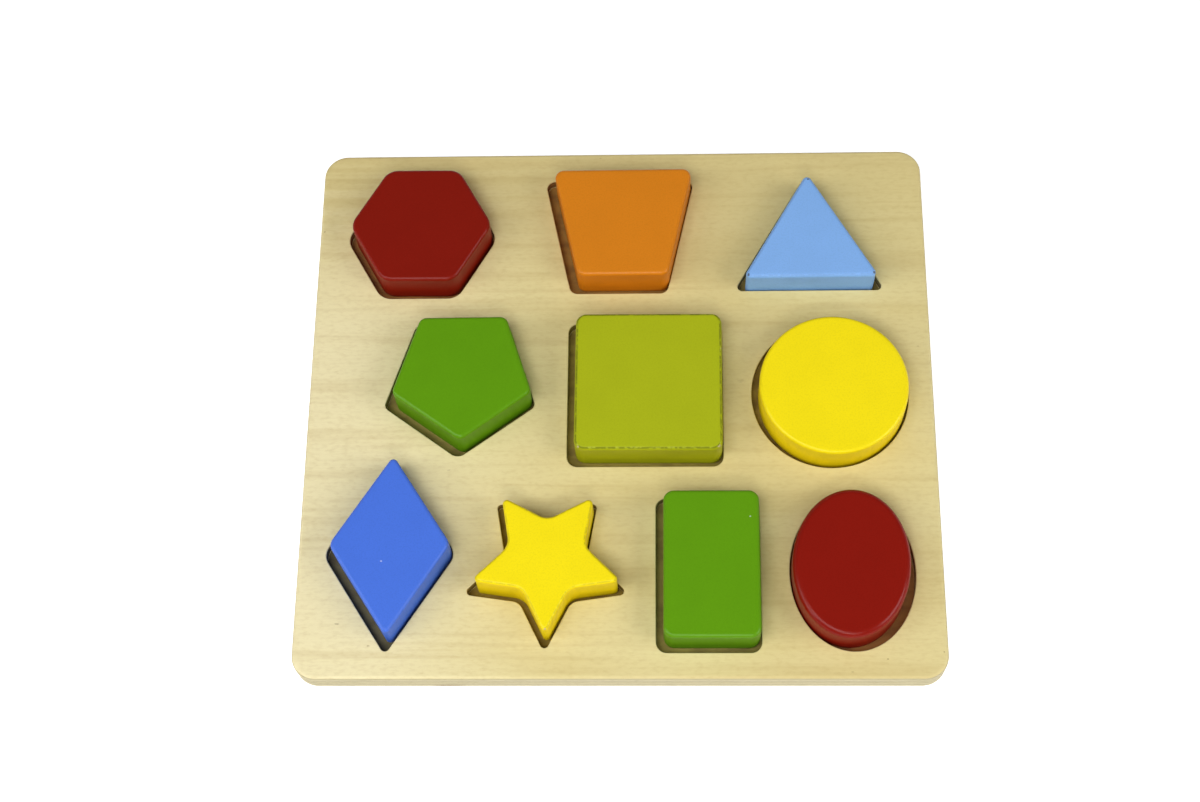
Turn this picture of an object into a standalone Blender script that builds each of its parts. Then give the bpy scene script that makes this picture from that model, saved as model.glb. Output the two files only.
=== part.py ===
"""Wooden shape puzzle: a two-layer plywood board with ten recesses and ten loose painted blocks.

Metres, +Z up. The origin is under the middle of the board, on the surface that it lies on.
+X runs along the board's long side and -Y is the side nearest the child.
"""

import math
from dataclasses import dataclass, field

import bmesh
import bpy

# Board: a cut-out plate glued on a plain backing plate
BASE_THICKNESS = 0.008
FRAME_THICKNESS = 0.006
BOARD_CORNER_RADIUS = 0.0115
BOARD_ARRIS = 0.0016
RECESS_ARRIS = 0.0005
GLUE_LINE = 0.0003

# Blocks: all sawn from one stock, dropped loosely in their recesses
BLOCK_THICKNESS = 0.020
BLOCK_ARRIS = 0.0015
OVAL_ARRIS = 0.0028
REST_GAP = 0.0003
RECESS_CLEARANCE = 0.0022
SNUG_CLEARANCE = 0.0020
HEXAGON_CLEARANCE = 0.0019
RHOMBUS_CLEARANCE = 0.0024
PENTAGON_CLEARANCE = 0.0026
STAR_CLEARANCE = 0.0018

# Block sizes, before their corners are rounded
HEXAGON_RADIUS = 0.0352
TRAPEZOID_BACK_WIDTH = 0.0690
TRAPEZOID_FRONT_WIDTH = 0.0436
TRAPEZOID_DEPTH = 0.0581
TRIANGLE_SIDE = 0.0658
PENTAGON_RADIUS = 0.0352
SQUARE_SIDE = 0.0699
CIRCLE_RADIUS = 0.0352
RHOMBUS_WIDTH = 0.0565
RHOMBUS_DEPTH = 0.0873
STAR_OUTER_RADIUS = 0.0366
STAR_INNER_RADIUS = 0.0183
RECTANGLE_WIDTH = 0.0443
RECTANGLE_DEPTH = 0.0704
OVAL_WIDTH = 0.0539
OVAL_DEPTH = 0.0709

# Rounding of the upright corners, the same on block and recess where only one is given
HEXAGON_CORNER = 0.0085
TRAPEZOID_CORNER = 0.0042
TRIANGLE_CORNER = 0.0023
PENTAGON_CORNER = 0.0042
PENTAGON_RECESS_TIP = 0.0055
PENTAGON_RECESS_CORNER = 0.0034
SQUARE_CORNER = 0.0050
RHOMBUS_TIP = 0.0022
RHOMBUS_CORNER = 0.0050
RHOMBUS_RECESS_CORNER = 0.0075
STAR_CORNER = 0.0020
STAR_NOTCH = 0.0080
RECTANGLE_CORNER = 0.0050

# Wood left round the recesses
FRONT_MARGIN = 0.0121
BACK_MARGIN = 0.0137
RIGHT_MARGIN = 0.0120
FRONT_ROW_INDENT = 0.0119
MIDDLE_ROW_INDENT = 0.0366
BACK_ROW_INDENT = 0.0138
FRONT_ROW_GAPS = (0.0034, 0.0124, 0.0134)
MIDDLE_ROW_GAPS = (0.0154, 0.0138)
BACK_ROW_GAPS = (0.0236, 0.0192)
GAP_BEHIND_FRONT_ROW = 0.0150
GAP_BEHIND_MIDDLE_ROW = 0.0160
RHOMBUS_RISE = 0.0212

# Smoothness of the faceted outlines
ARC_STEP = math.radians(15)
ROUND_POINTS = 64
ARRIS_SEGMENTS = 2
WELD_DISTANCE = 1e-6
SHARP_EDGE = math.radians(60)

WOOD_ROUGHNESS = 0.55
PAINT_ROUGHNESS = 0.35

COLOURS = {
    "plywood": "E5D49E",
    "red": "821A10",
    "orange": "CF7D1E",
    "light_blue": "7FACE6",
    "green": "5E9612",
    "lime": "A8B21C",
    "yellow": "F5E019",
    "blue": "4A73DC",
}


@dataclass
class Shape:
    """One block with the recess that it lies in.

    corners or semi_axes give the block's outline about its own middle, and radii the rounding of its
    corners, taken in turn. lift is how far behind its row's line the recess starts, and rise how much of
    its back end sticks out of the row. seat is where the loose block lies from the recess's middle:
    right, back and turn in degrees.
    """

    name: str
    colour: str
    corners: list = field(default_factory=list)
    semi_axes: tuple = ()
    clearance: float = RECESS_CLEARANCE
    radii: tuple = ()
    recess_radii: tuple = ()
    lift: float = 0.0
    seat: tuple = (0.0, 0.0, 0.0)
    rise: float = 0.0
    arris: float = BLOCK_ARRIS

    def block_outline(self):
        if self.semi_axes:
            return ellipse(*self.semi_axes)
        return rounded(self.corners, self.radii)

    def recess_outline(self):
        if self.semi_axes:
            return ellipse(*(axis + self.clearance for axis in self.semi_axes))
        return rounded(offset(self.corners, self.clearance), self.recess_radii or self.radii)

    def recess_extent(self):
        """Lowest x, y and highest x, y of the recess before its corners are rounded."""
        if self.semi_axes:
            half_width, half_depth = (axis + self.clearance for axis in self.semi_axes)
            return -half_width, -half_depth, half_width, half_depth
        corners = offset(self.corners, self.clearance)
        xs = [x for x, _ in corners]
        ys = [y for _, y in corners]
        return min(xs), min(ys), max(xs), max(ys)


def regular_polygon(sides, radius, first_angle):
    turns = (math.radians(first_angle) + math.tau * i / sides for i in range(sides))
    return [(radius * math.cos(turn), radius * math.sin(turn)) for turn in turns]


def star(points, outer_radius, inner_radius, first_angle):
    corners = []
    for i in range(2 * points):
        radius = inner_radius if i % 2 else outer_radius
        turn = math.radians(first_angle) + math.pi * i / points
        corners.append((radius * math.cos(turn), radius * math.sin(turn)))
    return corners


def trapezoid(front_width, back_width, depth):
    front, back, half = front_width / 2, back_width / 2, depth / 2
    return [(-front, -half), (front, -half), (back, half), (-back, half)]


def rectangle(width, depth):
    return trapezoid(width, width, depth)


def rhombus(width, depth):
    return [(0, -depth / 2), (width / 2, 0), (0, depth / 2), (-width / 2, 0)]


def ellipse(half_width, half_depth):
    turns = (math.tau * i / ROUND_POINTS for i in range(ROUND_POINTS))
    return [(half_width * math.cos(turn), half_depth * math.sin(turn)) for turn in turns]


def side_direction(start, end):
    length = math.dist(start, end)
    return (end[0] - start[0]) / length, (end[1] - start[1]) / length


def offset(corners, distance):
    """Corners of the outline whose sides lie distance outside those of an anticlockwise one."""
    moved = []
    for i, corner in enumerate(corners):
        before = side_direction(corners[i - 1], corner)
        after = side_direction(corner, corners[(i + 1) % len(corners)])
        turn = before[0] * after[1] - before[1] * after[0]
        x = corner[0] + distance * (after[0] - before[0]) / -turn
        y = corner[1] + distance * (after[1] - before[1]) / -turn
        moved.append((x, y))
    return moved


def rounded(corners, radii):
    """Anticlockwise outline with an arc at each corner or notch, the radii taken in turn."""
    outline = []
    for i, corner in enumerate(corners):
        before = side_direction(corners[i - 1], corner)
        after = side_direction(corner, corners[(i + 1) % len(corners)])
        turn = math.atan2(
            before[0] * after[1] - before[1] * after[0],
            before[0] * after[0] + before[1] * after[1],
        )
        radius = math.copysign(radii[i % len(radii)], turn)
        run_in = radius * math.tan(turn / 2)
        centre_x = corner[0] - before[0] * run_in - before[1] * radius
        centre_y = corner[1] - before[1] * run_in + before[0] * radius
        start = math.atan2(-before[0] * radius, before[1] * radius)
        steps = math.ceil(abs(turn) / ARC_STEP)
        for step in range(steps + 1):
            angle = start + turn * step / steps
            x = centre_x + abs(radius) * math.cos(angle)
            y = centre_y + abs(radius) * math.sin(angle)
            outline.append((x, y))
    return outline


def placed(outline, place):
    return [(x + place[0], y + place[1]) for x, y in outline]


def linear_colour(name):
    """RGBA for the renderer from one of the sRGB colours in COLOURS."""
    text = COLOURS[name]
    channels = (int(text[i:i + 2], 16) / 255 for i in (0, 2, 4))
    return [c / 12.92 if c <= 0.04045 else ((c + 0.055) / 1.055) ** 2.4 for c in channels] + [1.0]


def make_material(name, colour, roughness):
    material = bpy.data.materials.new(name)
    material.use_nodes = True
    shader = material.node_tree.nodes["Principled BSDF"]
    shader.inputs["Base Color"].default_value = linear_colour(colour)
    shader.inputs["Roughness"].default_value = roughness
    shader.inputs["Metallic"].default_value = 0.0
    return material


def flat_plate(name, outlines, thickness, collection):
    """Mesh object with the first outline as its edge and the others cut right through it."""
    curve = bpy.data.curves.new(name + "_outline", "CURVE")
    curve.dimensions = "2D"
    curve.fill_mode = "BOTH"
    curve.extrude = thickness / 2
    for outline in outlines:
        spline = curve.splines.new("POLY")
        spline.points.add(len(outline) - 1)
        for point, (x, y) in zip(spline.points, outline):
            point.co = (x, y, 0, 1)
        spline.use_cyclic_u = True
    guide = bpy.data.objects.new(name + "_outline", curve)
    collection.objects.link(guide)
    evaluated = guide.evaluated_get(bpy.context.evaluated_depsgraph_get())
    mesh = bpy.data.meshes.new_from_object(evaluated)
    mesh.name = name
    bpy.data.objects.remove(guide)
    bpy.data.curves.remove(curve)

    plate = bmesh.new()
    plate.from_mesh(mesh)
    bmesh.ops.remove_doubles(plate, verts=plate.verts, dist=WELD_DISTANCE)
    bmesh.ops.recalc_face_normals(plate, faces=plate.faces)
    plate.to_mesh(mesh)
    plate.free()
    piece = bpy.data.objects.new(name, mesh)
    collection.objects.link(piece)
    return piece


def round_rims(mesh, width, segments, wanted):
    """Round the edges between the flat faces and the sides where wanted(middle of the edge) is true."""
    solid = bmesh.new()
    solid.from_mesh(mesh)
    rims = []
    for edge in solid.edges:
        heights = sorted(abs(face.normal.z) for face in edge.link_faces)
        middle = (edge.verts[0].co + edge.verts[1].co) / 2
        if heights[0] < 0.5 < heights[1] and wanted(middle):
            rims.append(edge)
    bmesh.ops.bevel(solid, geom=rims, offset=width, segments=segments, profile=0.5, affect="EDGES")
    solid.to_mesh(mesh)
    solid.free()


def build_shapes():
    """The ten shapes in three rows, each row from left to right."""
    front_row = [
        Shape("rhombus_block", "blue", rhombus(RHOMBUS_WIDTH, RHOMBUS_DEPTH),
              clearance=RHOMBUS_CLEARANCE, radii=(RHOMBUS_TIP, RHOMBUS_CORNER),
              recess_radii=(RHOMBUS_TIP, RHOMBUS_RECESS_CORNER),
              lift=-0.0008, seat=(0.0016, 0.0010, 0.25), rise=RHOMBUS_RISE),
        Shape("star_block", "yellow", star(5, STAR_OUTER_RADIUS, STAR_INNER_RADIUS, -90),
              clearance=STAR_CLEARANCE, radii=(STAR_CORNER, STAR_NOTCH),
              recess_radii=(STAR_CORNER, STAR_NOTCH - STAR_CLEARANCE), seat=(0.0010, 0.0009, -0.3)),
        Shape("rectangle_block", "green", rectangle(RECTANGLE_WIDTH, RECTANGLE_DEPTH),
              clearance=SNUG_CLEARANCE, radii=(RECTANGLE_CORNER,),
              lift=0.0002, seat=(0.0015, 0.0014, -0.1)),
        Shape("oval_block", "red", semi_axes=(OVAL_WIDTH / 2, OVAL_DEPTH / 2),
              clearance=SNUG_CLEARANCE, lift=0.0008, seat=(-0.0013, 0.0008, -4.0), arris=OVAL_ARRIS),
    ]
    middle_row = [
        Shape("pentagon_block", "green", regular_polygon(5, PENTAGON_RADIUS, -90),
              clearance=PENTAGON_CLEARANCE, radii=(PENTAGON_CORNER,),
              recess_radii=(PENTAGON_RECESS_TIP,) + 4 * (PENTAGON_RECESS_CORNER,),
              lift=0.0043, seat=(0.0019, 0.0010, 0.5)),
        Shape("square_block", "lime", rectangle(SQUARE_SIDE, SQUARE_SIDE),
              radii=(SQUARE_CORNER,), lift=-0.0001, seat=(0.0018, 0.0012, -0.2)),
        Shape("circle_block", "yellow", semi_axes=(CIRCLE_RADIUS, CIRCLE_RADIUS),
              lift=-0.0012, seat=(0.0011, -0.0002, 0.0)),
    ]
    back_row = [
        Shape("hexagon_block", "red", regular_polygon(6, HEXAGON_RADIUS, -120),
              clearance=HEXAGON_CLEARANCE, radii=(HEXAGON_CORNER,),
              lift=-0.0017, seat=(0.0009, 0.0015, -0.3)),
        Shape("trapezoid_block", "orange",
              trapezoid(TRAPEZOID_FRONT_WIDTH, TRAPEZOID_BACK_WIDTH, TRAPEZOID_DEPTH),
              radii=(TRAPEZOID_CORNER,), lift=0.0002, seat=(0.0021, 0.0014, 0.2)),
        Shape("triangle_block", "light_blue", regular_polygon(3, TRIANGLE_SIDE / math.sqrt(3), -150),
              radii=(TRIANGLE_CORNER,), lift=0.0011, seat=(-0.0001, -0.0013, 0.4)),
    ]
    return [
        (front_row, FRONT_ROW_INDENT, FRONT_ROW_GAPS),
        (middle_row, MIDDLE_ROW_INDENT, MIDDLE_ROW_GAPS),
        (back_row, BACK_ROW_INDENT, BACK_ROW_GAPS),
    ]


def lay_out(rows):
    """Places of the recesses' middles by shape name, and the board's width and depth.

    Rows are filled from the board's left edge and stacked from its front edge, so the board grows
    with what it holds.
    """
    gaps_behind = (GAP_BEHIND_FRONT_ROW, GAP_BEHIND_MIDDLE_ROW, BACK_MARGIN)
    places = {}
    row_ends = []
    row_line = FRONT_MARGIN
    for (shapes, indent, gaps), gap_behind in zip(rows, gaps_behind):
        reach = indent
        backs = []
        for shape, gap in zip(shapes, (*gaps, 0.0)):
            low_x, low_y, high_x, high_y = shape.recess_extent()
            places[shape.name] = (reach - low_x, row_line + shape.lift - low_y)
            reach += high_x - low_x + gap
            backs.append(shape.lift + high_y - low_y - shape.rise)
        row_ends.append(reach)
        row_line += max(backs) + gap_behind
    width = max(row_ends) + RIGHT_MARGIN
    depth = row_line
    middles = {name: (x - width / 2, y - depth / 2) for name, (x, y) in places.items()}
    return middles, width, depth


def build_board(shapes, middles, width, depth, collection):
    edge = rounded(rectangle(width, depth), (BOARD_CORNER_RADIUS,))
    recesses = [placed(shape.recess_outline(), middles[shape.name]) for shape in shapes]
    wood = make_material("birch_plywood", "plywood", WOOD_ROUGHNESS)

    base = flat_plate("base_plate", [edge], BASE_THICKNESS, collection)
    base.location.z = BASE_THICKNESS / 2
    round_rims(base.data, BOARD_ARRIS, ARRIS_SEGMENTS, lambda middle: middle.z < 0)

    frame = flat_plate("frame_plate", [edge, *recesses], FRAME_THICKNESS, collection)
    frame.location.z = BASE_THICKNESS + GLUE_LINE + FRAME_THICKNESS / 2

    def at_board_edge(middle):
        rim = BOARD_CORNER_RADIUS / 2
        return abs(middle.x) > width / 2 - rim or abs(middle.y) > depth / 2 - rim

    def is_board_rim(middle):
        return middle.z > 0 and at_board_edge(middle)

    def is_recess_rim(middle):
        return middle.z > 0 and not at_board_edge(middle)

    round_rims(frame.data, RECESS_ARRIS, 1, is_recess_rim)
    round_rims(frame.data, BOARD_ARRIS, ARRIS_SEGMENTS, is_board_rim)
    for plate in (base, frame):
        plate.data.materials.clear()
        plate.data.materials.append(wood)


def build_block(shape, middle, collection):
    block = flat_plate(shape.name, [shape.block_outline()], BLOCK_THICKNESS, collection)
    right, back, turn = shape.seat
    bottom = BASE_THICKNESS + REST_GAP
    block.location = (middle[0] + right, middle[1] + back, bottom + BLOCK_THICKNESS / 2)
    block.rotation_euler.z = math.radians(turn)
    block.data.materials.clear()
    paint = make_material("paint_" + shape.name, shape.colour, PAINT_ROUGHNESS)
    block.data.materials.append(paint)

    arris = block.modifiers.new("arris", "BEVEL")
    arris.width = shape.arris
    arris.segments = ARRIS_SEGMENTS
    arris.limit_method = "ANGLE"
    arris.angle_limit = SHARP_EDGE
    return block


def main():
    for old in list(bpy.data.objects):
        bpy.data.objects.remove(old, do_unlink=True)
    collection = bpy.data.collections.new("shape_puzzle")
    bpy.context.scene.collection.children.link(collection)

    rows = build_shapes()
    middles, width, depth = lay_out(rows)
    shapes = [shape for row, _, _ in rows for shape in row]
    build_board(shapes, middles, width, depth, collection)
    for shape in shapes:
        build_block(shape, middles[shape.name], collection)
    print(f"board {width * 1000:.1f} x {depth * 1000:.1f} mm")


if __name__ == "__main__":
    main()
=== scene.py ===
"""Looks of a wooden shape puzzle: a birch plywood board with ten painted blocks lying in its recesses.

Metres, +Z up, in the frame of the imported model. Blender 4.5.
"""

import logging
import math
from dataclasses import dataclass, replace
from enum import Enum

import bmesh
import bpy
from mathutils import Matrix, Vector

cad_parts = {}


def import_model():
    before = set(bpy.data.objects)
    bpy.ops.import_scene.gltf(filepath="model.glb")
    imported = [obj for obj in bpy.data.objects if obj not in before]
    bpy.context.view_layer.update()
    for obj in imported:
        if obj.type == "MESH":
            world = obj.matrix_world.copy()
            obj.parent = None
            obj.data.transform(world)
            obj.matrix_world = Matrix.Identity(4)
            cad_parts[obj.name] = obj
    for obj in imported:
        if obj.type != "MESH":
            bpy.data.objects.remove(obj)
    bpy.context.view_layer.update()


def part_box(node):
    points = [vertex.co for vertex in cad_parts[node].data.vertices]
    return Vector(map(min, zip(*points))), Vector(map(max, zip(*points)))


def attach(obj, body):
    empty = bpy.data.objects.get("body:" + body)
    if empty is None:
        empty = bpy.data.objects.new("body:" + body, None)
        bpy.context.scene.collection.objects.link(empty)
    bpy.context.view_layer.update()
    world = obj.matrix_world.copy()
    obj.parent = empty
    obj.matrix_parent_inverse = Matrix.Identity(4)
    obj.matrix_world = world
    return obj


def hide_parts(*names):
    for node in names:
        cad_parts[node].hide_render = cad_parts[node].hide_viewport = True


LOG = logging.getLogger("shape_puzzle")

MM = 0.001
# Turn of one facet of a rounded corner, points on an ellipse and facets of an arris
ARC_STEP = math.radians(6.0)
ROUND_POINTS = 144
ARRIS_STEPS = 7
# Short flat run beside each rounding, so that smooth shading stays off the flat faces
EASE = 0.0004


class Paint(Enum):
    """Enamel colours of the blocks: sRGB of the flat faces, as hex."""

    RED = "821A10"
    BRIGHT_RED = "86180F"
    ORANGE = "D6801E"
    LIGHT_BLUE = "83B1ED"
    GREEN = "5E9612"
    LIME = "A8B21C"
    YELLOW = "F5E019"
    BLUE = "4A73DC"


class Form(Enum):
    """Outlines that a block can have."""

    POLYGON = "polygon"
    STAR = "star"
    TRAPEZOID = "trapezoid"
    RHOMBUS = "rhombus"
    ELLIPSE = "ellipse"


@dataclass(frozen=True)
class RimPoint:
    """Point of an outline, with the direction that leads straight out of the wood there."""

    x: float
    y: float
    out_x: float
    out_y: float

    def grown(self, distance: float) -> tuple[float, float]:
        """Place of the point once the outline has grown by distance."""
        return self.x + self.out_x * distance, self.y + self.out_y * distance

    def placed(self, turn: float, move_x: float, move_y: float) -> "RimPoint":
        """The point turned about the origin by turn in radians, then moved."""
        cos, sin = math.cos(turn), math.sin(turn)
        return RimPoint(
            self.x * cos - self.y * sin + move_x,
            self.x * sin + self.y * cos + move_y,
            self.out_x * cos - self.out_y * sin,
            self.out_x * sin + self.out_y * cos,
        )


Outline = list[RimPoint]
Corners = list[tuple[float, float]]
Section = list[tuple[float, float]]


def linear(hex_colour: str) -> tuple[float, float, float, float]:
    """Turn an sRGB hex colour to the linear RGBA that shaders take.

    Args:
        hex_colour: Six hex digits.

    Returns:
        Linear red, green and blue, and alpha 1.
    """
    channels = [int(hex_colour[i:i + 2], 16) / 255 for i in (0, 2, 4)]
    r, g, b = (c / 12.92 if c <= 0.04045 else ((c + 0.055) / 1.055) ** 2.4 for c in channels)
    return r, g, b, 1.0


def rub_and_bounce_tint(paint: Paint) -> tuple[float, float, float, float]:
    """Tint of a block's paint on nearby wood, partly rubbed-off paint and partly painted shade and light
    bounced off the block: its colour with the strongest channel at full.
    """
    colour = linear(paint.value)[:3]
    return tuple(channel / max(colour) for channel in colour) + (1.0,)


def shaded(
    colour: tuple[float, float, float, float], share: float
) -> tuple[float, float, float, float]:
    """Linear colour with each channel times share."""
    return tuple(channel * share for channel in colour[:3]) + (1.0,)


def add_node(
    tree: bpy.types.NodeTree, kind: str, sockets: dict | None = None, **settings: object
) -> bpy.types.Node:
    """Add one shader node with its settings and links.

    Args:
        tree: Node tree that the node goes in.
        kind: Blender's name of the node's type.
        sockets: Input sockets by name or number, each with a value or the output to link from.
        **settings: Properties of the node.

    Returns:
        The new node.
    """
    node = tree.nodes.new(kind)
    for name, value in settings.items():
        setattr(node, name, value)
    for key, value in (sockets or {}).items():
        if isinstance(value, bpy.types.NodeSocket):
            tree.links.new(value, node.inputs[key])
        else:
            node.inputs[key].default_value = value
    return node


def blank_material(name: str) -> bpy.types.Material:
    """Make a material with an empty node tree.

    Args:
        name: Name of the material.

    Returns:
        The material.
    """
    material = bpy.data.materials.new(name)
    material.use_nodes = True
    material.node_tree.nodes.clear()
    return material


def stretched_noise(
    tree: bpy.types.NodeTree,
    place: bpy.types.NodeSocket,
    sizes_mm: tuple[float, float, float],
    detail: float = 2.0,
    seed: float = 0.0,
) -> bpy.types.NodeSocket:
    """Noise whose blotches have a real length along each axis.

    Args:
        tree: Node tree that the nodes go in.
        place: Position in metres.
        sizes_mm: Blotch lengths along X, Y and Z in millimetres.
        detail: Octaves of finer noise.
        seed: Shift that makes one pattern unlike another.

    Returns:
        The noise's value, about 0.5 on average.
    """
    scales = tuple(1.0 / (size * MM) for size in sizes_mm)
    mapped = add_node(
        tree, "ShaderNodeMapping", {"Vector": place, "Scale": scales, "Location": (seed, seed, seed)}
    )
    sockets = {"Vector": mapped.outputs[0], "Scale": 1.0, "Detail": detail}
    return add_node(tree, "ShaderNodeTexNoise", sockets).outputs["Fac"]


def ramp(
    tree: bpy.types.NodeTree,
    value: bpy.types.NodeSocket,
    start: float,
    end: float,
    low: float = 0.0,
    high: float = 1.0,
) -> bpy.types.NodeSocket:
    """Smooth step from low at start to high at end.

    Args:
        tree: Node tree that the node goes in.
        value: What the step follows.
        start: Value where the step begins.
        end: Value where the step ends, above or below start.
        low: Result before the step.
        high: Result past the step.

    Returns:
        The stepped value.
    """
    sockets = {"Value": value, "From Min": start, "From Max": end, "To Min": low, "To Max": high}
    step = add_node(tree, "ShaderNodeMapRange", sockets, interpolation_type="SMOOTHSTEP")
    return step.outputs[0]


def arithmetic(
    tree: bpy.types.NodeTree, operation: str, first: object, second: object
) -> bpy.types.NodeSocket:
    """Result of a Math node on two values or sockets."""
    return add_node(tree, "ShaderNodeMath", {0: first, 1: second}, operation=operation).outputs[0]


def blend_colour(
    tree: bpy.types.NodeTree, amount: object, under: object, over: object, mode: str = "MIX"
) -> bpy.types.NodeSocket:
    """Lay one colour on another.

    Args:
        tree: Node tree that the node goes in.
        amount: Share of over that shows, as a value or a socket.
        under: Colour underneath, or its socket.
        over: Colour on top, or its socket.
        mode: Blender's name of the way they mix.

    Returns:
        The mixed colour.
    """
    mix = add_node(tree, "ShaderNodeMix", {0: amount}, data_type="RGBA", blend_type=mode)
    # The node's colours are its inputs 6 and 7 and its output 2
    for number, colour in ((6, under), (7, over)):
        if isinstance(colour, bpy.types.NodeSocket):
            tree.links.new(colour, mix.inputs[number])
        else:
            mix.inputs[number].default_value = colour
    return mix.outputs[2]


def surface(
    material: bpy.types.Material,
    colour: bpy.types.NodeSocket,
    roughness: object,
    height: bpy.types.NodeSocket,
    relief_mm: float,
    specular: float,
    ior: float,
) -> None:
    """Close a material: a Principled shader with colour, gloss and a relief of relief_mm.

    Args:
        material: Material whose tree gets the shader.
        colour: Base colour.
        roughness: Value or socket.
        height: Relief pattern between 0 and 1.
        relief_mm: Depth of the relief's whole range.
        specular: Specular level, 0.5 for a clean dielectric.
        ior: Index of refraction.
    """
    tree = material.node_tree
    bump = add_node(
        tree, "ShaderNodeBump", {"Height": height, "Distance": relief_mm * MM, "Strength": 1.0}
    )
    sockets = {
        "Base Color": colour,
        "Roughness": roughness,
        "Normal": bump.outputs[0],
        "Specular IOR Level": specular,
        "IOR": ior,
    }
    shader = add_node(tree, "ShaderNodeBsdfPrincipled", sockets)
    add_node(tree, "ShaderNodeOutputMaterial", {"Surface": shader.outputs[0]})


@dataclass(frozen=True)
class Fleck:
    """Small brown pin knot or bark speck in the face veneer: its place and size in metres."""

    x: float
    y: float
    length: float
    width: float
    strength: float = 0.7


@dataclass(frozen=True)
class BirchFace:
    """Rotary-cut birch face veneer, sanded and thinly varnished.

    The eye sees pale cream wood, softly mottled, with faint tan bands and short wavy fibres along
    the grain, a few pin knots and a soft satin sheen. Painted light makes the board's left paler,
    and painted shade makes its back darker.
    """

    pale: str = "DFD29A"
    warm: str = "D7C78B"
    # Paler colour of the painted light on the left, and darker colour of the painted shade at the back
    painted_light_left: str = "E9DEB2"
    painted_shade_back: str = "D8C88D"
    streak: str = "B79D62"
    fleck: str = "7A5A30"
    band_mm: tuple[float, float, float] = (120.0, 4.5, 120.0)
    streak_mm: tuple[float, float, float] = (45.0, 1.2, 45.0)
    mottle_mm: tuple[float, float, float] = (3.5, 1.6, 3.5)
    # Real pores are near 0.1 mm wide, too fine to show, so these are drawn 0.45 mm wide
    pore_mm: tuple[float, float, float] = (3.2, 0.45, 3.2)
    patch_mm: tuple[float, float, float] = (150.0, 38.0, 150.0)
    wave_mm: float = 3.0
    wave_size_mm: tuple[float, float, float] = (60.0, 25.0, 60.0)
    # Where the painted light on the left and the painted shade at the back begin and end, in metres from
    # the board's middle
    painted_light_fade: tuple[float, float] = (-0.02, -0.14)
    painted_shade_fade: tuple[float, float] = (0.02, 0.135)
    ragged_mm: tuple[float, float, float] = (1.2, 0.5, 1.2)
    roughness: tuple[float, float] = (0.42, 0.5)
    relief_mm: float = 0.03
    specular: float = 0.3
    ior: float = 1.45
    flecks: tuple[Fleck, ...] = ()

    def build(self, name: str) -> bpy.types.Material:
        """Build the material, with the grain along X.

        Args:
            name: Name of the material.

        Returns:
            The material.
        """
        material = blank_material(name)
        tree = material.node_tree
        place = add_node(tree, "ShaderNodeTexCoord").outputs["Object"]
        waves = stretched_noise(tree, place, self.wave_size_mm, detail=2.0, seed=4.9)
        sway = arithmetic(tree, "MULTIPLY", waves, self.wave_mm * MM)
        shift = add_node(tree, "ShaderNodeCombineXYZ", {"Y": sway}).outputs[0]
        wavy = add_node(tree, "ShaderNodeVectorMath", {0: place, 1: shift}, operation="ADD").outputs[0]
        patches = stretched_noise(tree, place, self.patch_mm, detail=2.0, seed=3.1)
        bands = stretched_noise(tree, wavy, self.band_mm, detail=2.0, seed=1.3)
        streaks = stretched_noise(tree, wavy, self.streak_mm, detail=3.0, seed=7.7)
        mottle = stretched_noise(tree, wavy, self.mottle_mm, detail=4.0, seed=2.7)
        pores = stretched_noise(tree, wavy, self.pore_mm, detail=2.0, seed=5.5)
        colour = blend_colour(
            tree, ramp(tree, patches, 0.35, 0.7), linear(self.pale), linear(self.warm)
        )
        board_axes = add_node(tree, "ShaderNodeSeparateXYZ", {0: place})
        # Painted light: the board's left is drawn paler
        painted_light_share = ramp(tree, board_axes.outputs["X"], *self.painted_light_fade)
        colour = blend_colour(tree, painted_light_share, colour, linear(self.painted_light_left))
        figured = ramp(tree, bands, 0.2, 0.6, 0.6, 1.0)
        # Painted shade: the board's back is drawn darker, more so in the figured bands
        painted_shade_share = arithmetic(
            tree, "MULTIPLY", ramp(tree, board_axes.outputs["Y"], *self.painted_shade_fade), figured
        )
        colour = blend_colour(tree, painted_shade_share, colour, linear(self.painted_shade_back))
        # Each pattern with the values between which it comes in and how strong it gets
        for pattern, start, end, strength in (
            (bands, 0.48, 0.72, 0.20),
            (streaks, 0.5, 0.8, 0.12),
            (mottle, 0.42, 0.75, 0.18),
            (pores, 0.55, 0.8, 0.20),
        ):
            amount = ramp(tree, pattern, start, end, 0.0, strength)
            colour = blend_colour(tree, amount, colour, linear(self.streak))
        for spot in self.flecks:
            brown = self.fleck_mask(tree, place, spot)
            colour = blend_colour(tree, brown, colour, linear(self.fleck))
        height = arithmetic(tree, "ADD", streaks, pores)
        roughness = ramp(tree, bands, 0.3, 0.7, *self.roughness)
        surface(material, colour, roughness, height, self.relief_mm, self.specular, self.ior)
        return material

    def fleck_mask(
        self, tree: bpy.types.NodeTree, place: bpy.types.NodeSocket, spot: Fleck
    ) -> bpy.types.NodeSocket:
        """How much of the fleck's brown shows at a place.

        Args:
            tree: Node tree that the nodes go in.
            place: Position in metres.
            spot: The fleck.

        Returns:
            The fleck's strength in its middle, falling to 0 at its edge.
        """
        scale = (1 / spot.length, 1 / spot.width, 0.0)
        shift = (-spot.x / spot.length, -spot.y / spot.width, 0.0)
        local = add_node(
            tree, "ShaderNodeMapping", {"Vector": place, "Scale": scale, "Location": shift}
        ).outputs[0]
        far = add_node(tree, "ShaderNodeVectorMath", {0: local}, operation="LENGTH").outputs["Value"]
        # Each fleck takes its own part of the noise, so that no two have the same border
        ragged = stretched_noise(tree, place, self.ragged_mm, detail=2.0, seed=spot.x * 90)
        return ramp(tree, arithmetic(tree, "ADD", far, ragged), 1.1, 0.6, 0.0, spot.strength)


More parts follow.
